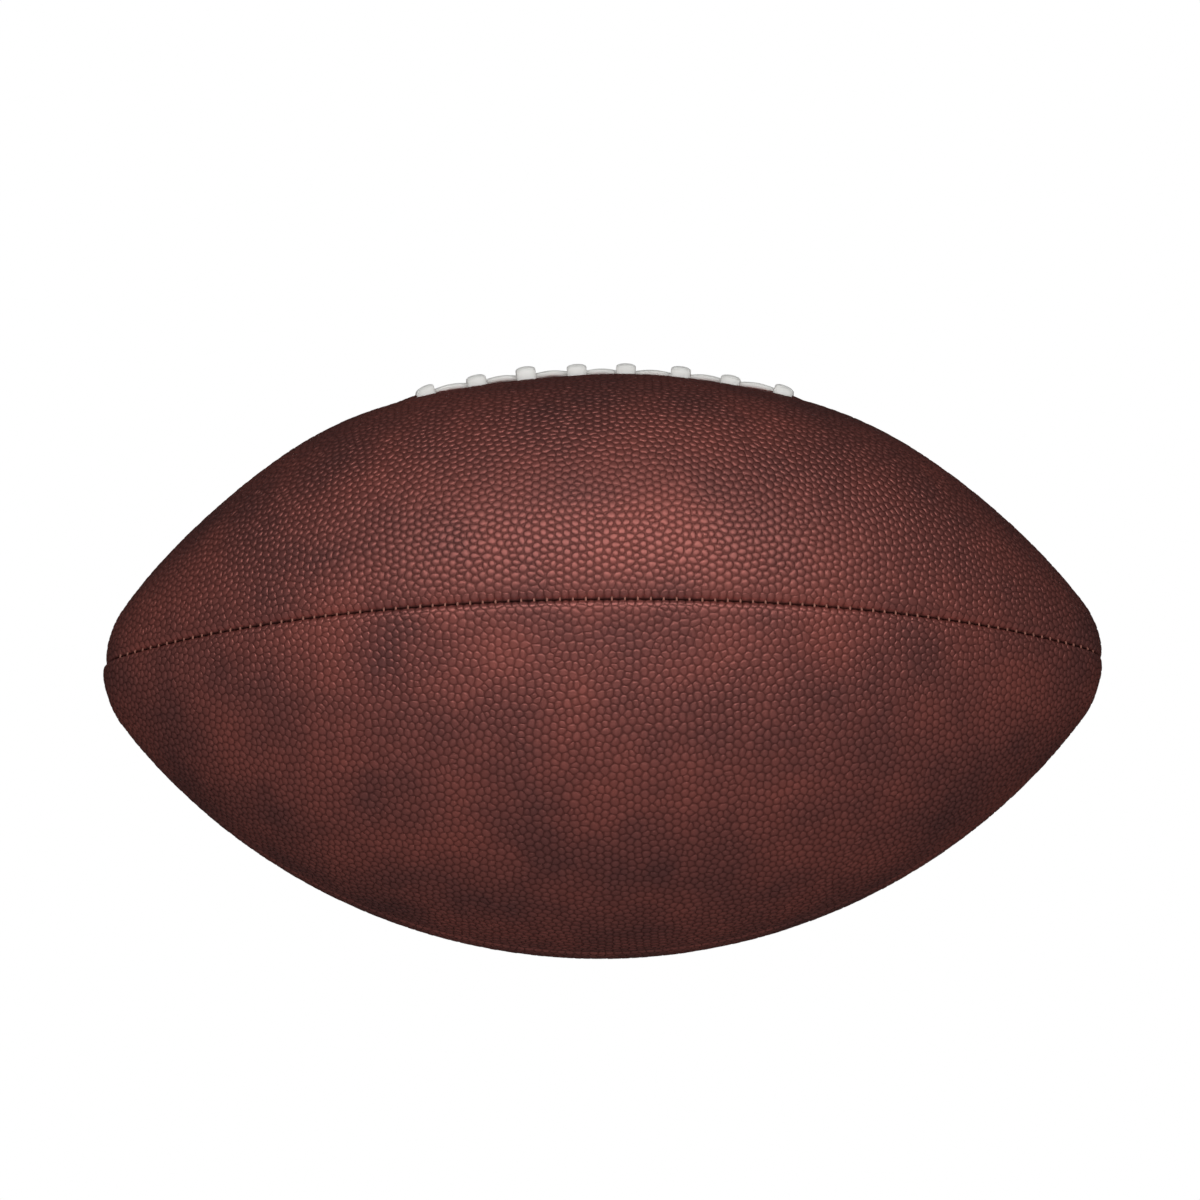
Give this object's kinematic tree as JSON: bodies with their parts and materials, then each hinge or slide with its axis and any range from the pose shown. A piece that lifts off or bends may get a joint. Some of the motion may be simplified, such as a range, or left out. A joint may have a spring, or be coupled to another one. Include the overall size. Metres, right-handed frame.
{
  "type": "american football",
  "caption": "Prolate american football of pebbled brown leather panels sewn edge to edge, closed along a seam by a white lace, with a needle valve for inflating it.",
  "frame": {"origin": "the ball's centre, on its long axis at mid-length", "axes": "+X along the ball's long axis, +Z outward through the middle of the lacing, -Y towards the front seam"},
  "size_m": [0.2858, 0.168, 0.1722],
  "materials": {
    "leather": "pebbled, soft gloss",
    "lining": "woven",
    "thread": "waxed",
    "lace": "matte, finely textured",
    "facing": "woven",
    "bladder": "smooth",
    "valve_rubber": "matte",
    "patch": "matte"
  },
  "bodies": {
    "root": {"panel_upper_front": "leather", "panel_upper_rear": "leather", "panel_lower_front": "leather", "panel_lower_rear": "leather", "lining_upper_front": "lining", "lining_upper_rear": "lining", "lining_lower_front": "lining", "lining_lower_rear": "lining", "seam_thread_front": "thread", "seam_thread_rear": "thread", "seam_thread_bottom": "thread", "seam_thread_lace_left": "thread", "seam_thread_lace_right": "thread", "lace": "lace", "lace_facing_front": "facing", "lace_facing_rear": "facing", "lace_tongue": "facing", "bladder": "bladder", "valve_body": "valve_rubber", "valve_plug": "valve_rubber", "valve_patch": "patch"}
  },
  "joints": []
}
